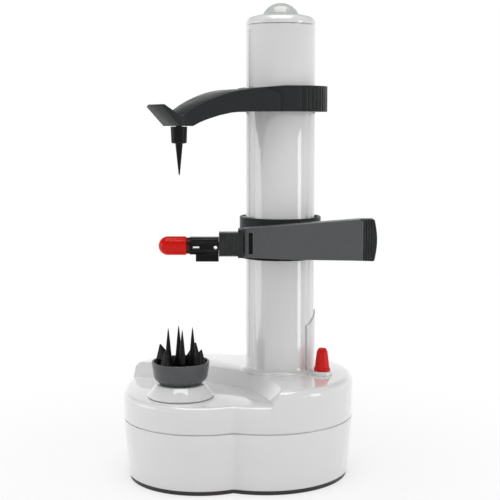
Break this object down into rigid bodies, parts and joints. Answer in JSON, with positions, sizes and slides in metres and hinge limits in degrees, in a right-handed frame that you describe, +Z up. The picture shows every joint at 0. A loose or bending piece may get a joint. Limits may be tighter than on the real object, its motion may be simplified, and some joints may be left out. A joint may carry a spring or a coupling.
{
  "type": "electric potato peeler",
  "caption": "Upright electric peeler: food turns between a spiked cup and an upper spike while a lead screw carries a sprung blade arm along the tower.",
  "frame": {"origin": "middle of the base's flat underside", "axes": "+Z up along the tower, -Y towards the user, +X to the user's right"},
  "size_m": [0.1591, 0.1194, 0.3006],
  "materials": {
    "white_gloss": "high-gloss moulded",
    "base_dark": "fine satin",
    "rubber_pad": "matt",
    "arm_grey": "semi-gloss moulded",
    "handle_grey": "gloss moulded",
    "black_plastic": "satin moulded",
    "dark_spike": "fine grained",
    "red_translucent": "slightly translucent gloss",
    "red_plastic": "gloss",
    "pearl_button": "translucent pearl",
    "steel": "bright",
    "zinc": "plated",
    "brass_bush": "sintered",
    "gear_plastic": "natural acetal",
    "cell_jacket": "plain wrap",
    "board_green": "circuit board"
  },
  "bodies": {
    "root": {"bottom_plate": "base_dark", "foot_pads": "rubber_pad", "lower_housing": "white_gloss", "upper_housing": "white_gloss", "chassis_plate": "zinc", "base_screws": "zinc", "idler_axle": "steel", "compound_axle": "steel", "motor": "zinc", "motor_screws": "zinc", "spindle_lower_bush": "brass_bush", "spindle_upper_bush": "brass_bush", "screw_lower_bush": "brass_bush", "screw_upper_bearing": "white_gloss", "screw_upper_bush": "brass_bush", "batteries": "cell_jacket", "battery_contacts": "steel", "circuit_board": "board_green", "board_standoffs": "brass_bush", "dc_jack": "black_plastic", "switch_rail": "board_green", "lower_limit_switch": "black_plastic", "upper_limit_switch": "black_plastic", "start_switch": "black_plastic", "tower_tube": "white_gloss", "tower_screws": "zinc", "tower_cap": "white_gloss", "button_spring": "steel", "spring_seat": "white_gloss", "knife_socket": "white_gloss"},
    "food_holder": {"spindle_shaft": "steel", "spindle_gear": "gear_plastic", "turntable": "white_gloss", "food_cup": "dark_spike"},
    "idler": {"idler_gear": "gear_plastic"},
    "screw": {"lead_screw": "steel", "screw_gear": "gear_plastic"},
    "compound": {"compound_gear": "gear_plastic"},
    "motor_rotor": {"motor_shaft": "steel", "motor_pinion": "brass_bush"},
    "carriage": {"carriage": "black_plastic", "arm_spring": "steel"},
    "peeler_arm": {"arm_collar": "arm_grey", "arm_handle": "handle_grey", "blade_neck": "handle_grey"},
    "blade_head": {"blade_holder": "black_plastic", "peeling_blade": "steel", "tip_guard": "red_translucent"},
    "upper_arm": {"upper_arm": "arm_grey", "pad_spring": "steel"},
    "release_pad": {"release_pad": "arm_grey"},
    "upper_spike": {"upper_spike": "dark_spike"},
    "start_button": {"start_button": "pearl_button"},
    "thumb_knife": {"thumb_knife": "red_plastic"},
    "battery_door": {"battery_door": "base_dark"}
  },
  "joints": [
    {"name": "food_holder_spin", "type": "hinge", "parent": "root", "child": "food_holder", "pos_m": [-0.03604, -0.02867, 0.06], "axis": [0, 0, 1], "range_deg": [-1980, 1620]},
    {"name": "idler_spin", "type": "hinge", "parent": "root", "child": "idler", "pos_m": [0.00005, -0.00623, 0.045], "axis": [0, 0, 1], "range_deg": [-1950, 2150]},
    {"name": "screw_spin", "type": "hinge", "parent": "root", "child": "screw", "pos_m": [0.0268, 0.0104, 0.045], "axis": [0, 0, 1], "range_deg": [-3980, 3260]},
    {"name": "compound_spin", "type": "hinge", "parent": "root", "child": "compound", "pos_m": [-0.01372, 0.01872, 0.045], "axis": [0, 0, 1], "range_deg": [-5500, 4500]},
    {"name": "motor_spin", "type": "hinge", "parent": "root", "child": "motor_rotor", "pos_m": [-0.03447, 0.03079, 0.04], "axis": [0, 0, 1], "range_deg": [-18000, 22000]},
    {"name": "carriage_slide", "type": "slide", "parent": "root", "child": "carriage", "axis": [0, 0, 1], "range_m": [-0.0445, 0.0365]},
    {"name": "arm_swing", "type": "hinge", "parent": "carriage", "child": "peeler_arm", "pos_m": [0.0268, 0.0104, 0.15], "axis": [0, 0, 1], "range_deg": [0, 45], "stiffness_Nm_per_rad": 0.05, "springref_deg": -17.19},
    {"name": "head_roll", "type": "hinge", "parent": "peeler_arm", "child": "blade_head", "pos_m": [-0.012, -0.0287, 0.1498], "axis": [1, 0, 0], "range_deg": [-20, 20], "stiffness_Nm_per_rad": 0.006},
    {"name": "upper_arm_slide", "type": "slide", "parent": "root", "child": "upper_arm", "axis": [0, 0, 1], "range_m": [-0.036, 0.034]},
    {"name": "pad_press", "type": "slide", "parent": "upper_arm", "child": "release_pad", "axis": [-0.9397, 0.342, 0], "range_m": [0, 0.0017], "stiffness_N_per_m": 700, "springref_m": -0.001},
    {"name": "upper_spike_spin", "type": "hinge", "parent": "upper_arm", "child": "upper_spike", "pos_m": [-0.03604, -0.02867, 0.21], "axis": [0, 0, 1], "continuous": true},
    {"name": "start_press", "type": "slide", "parent": "root", "child": "start_button", "axis": [0, 0, 1], "range_m": [-0.002, 0], "stiffness_N_per_m": 400, "springref_m": 0.002, "deforming": ["button_spring"]},
    {"name": "knife_lift", "type": "slide", "parent": "root", "child": "thumb_knife", "axis": [0, 0, 1], "range_m": [0, 0.03]},
    {"name": "battery_door_off", "type": "slide", "parent": "root", "child": "battery_door", "axis": [0, 0, 1], "range_m": [-0.02, 0]}
  ],
  "couplings": [
    {"joint": "idler_spin", "follows": "food_holder_spin", "ratio": -1.0732},
    {"joint": "screw_spin", "follows": "food_holder_spin", "ratio": 2},
    {"joint": "compound_spin", "follows": "food_holder_spin", "ratio": 2.75},
    {"joint": "motor_spin", "follows": "food_holder_spin", "ratio": -11},
    {"joint": "carriage_slide", "follows": "food_holder_spin", "m_per_rad": 0.0012732}
  ]
}
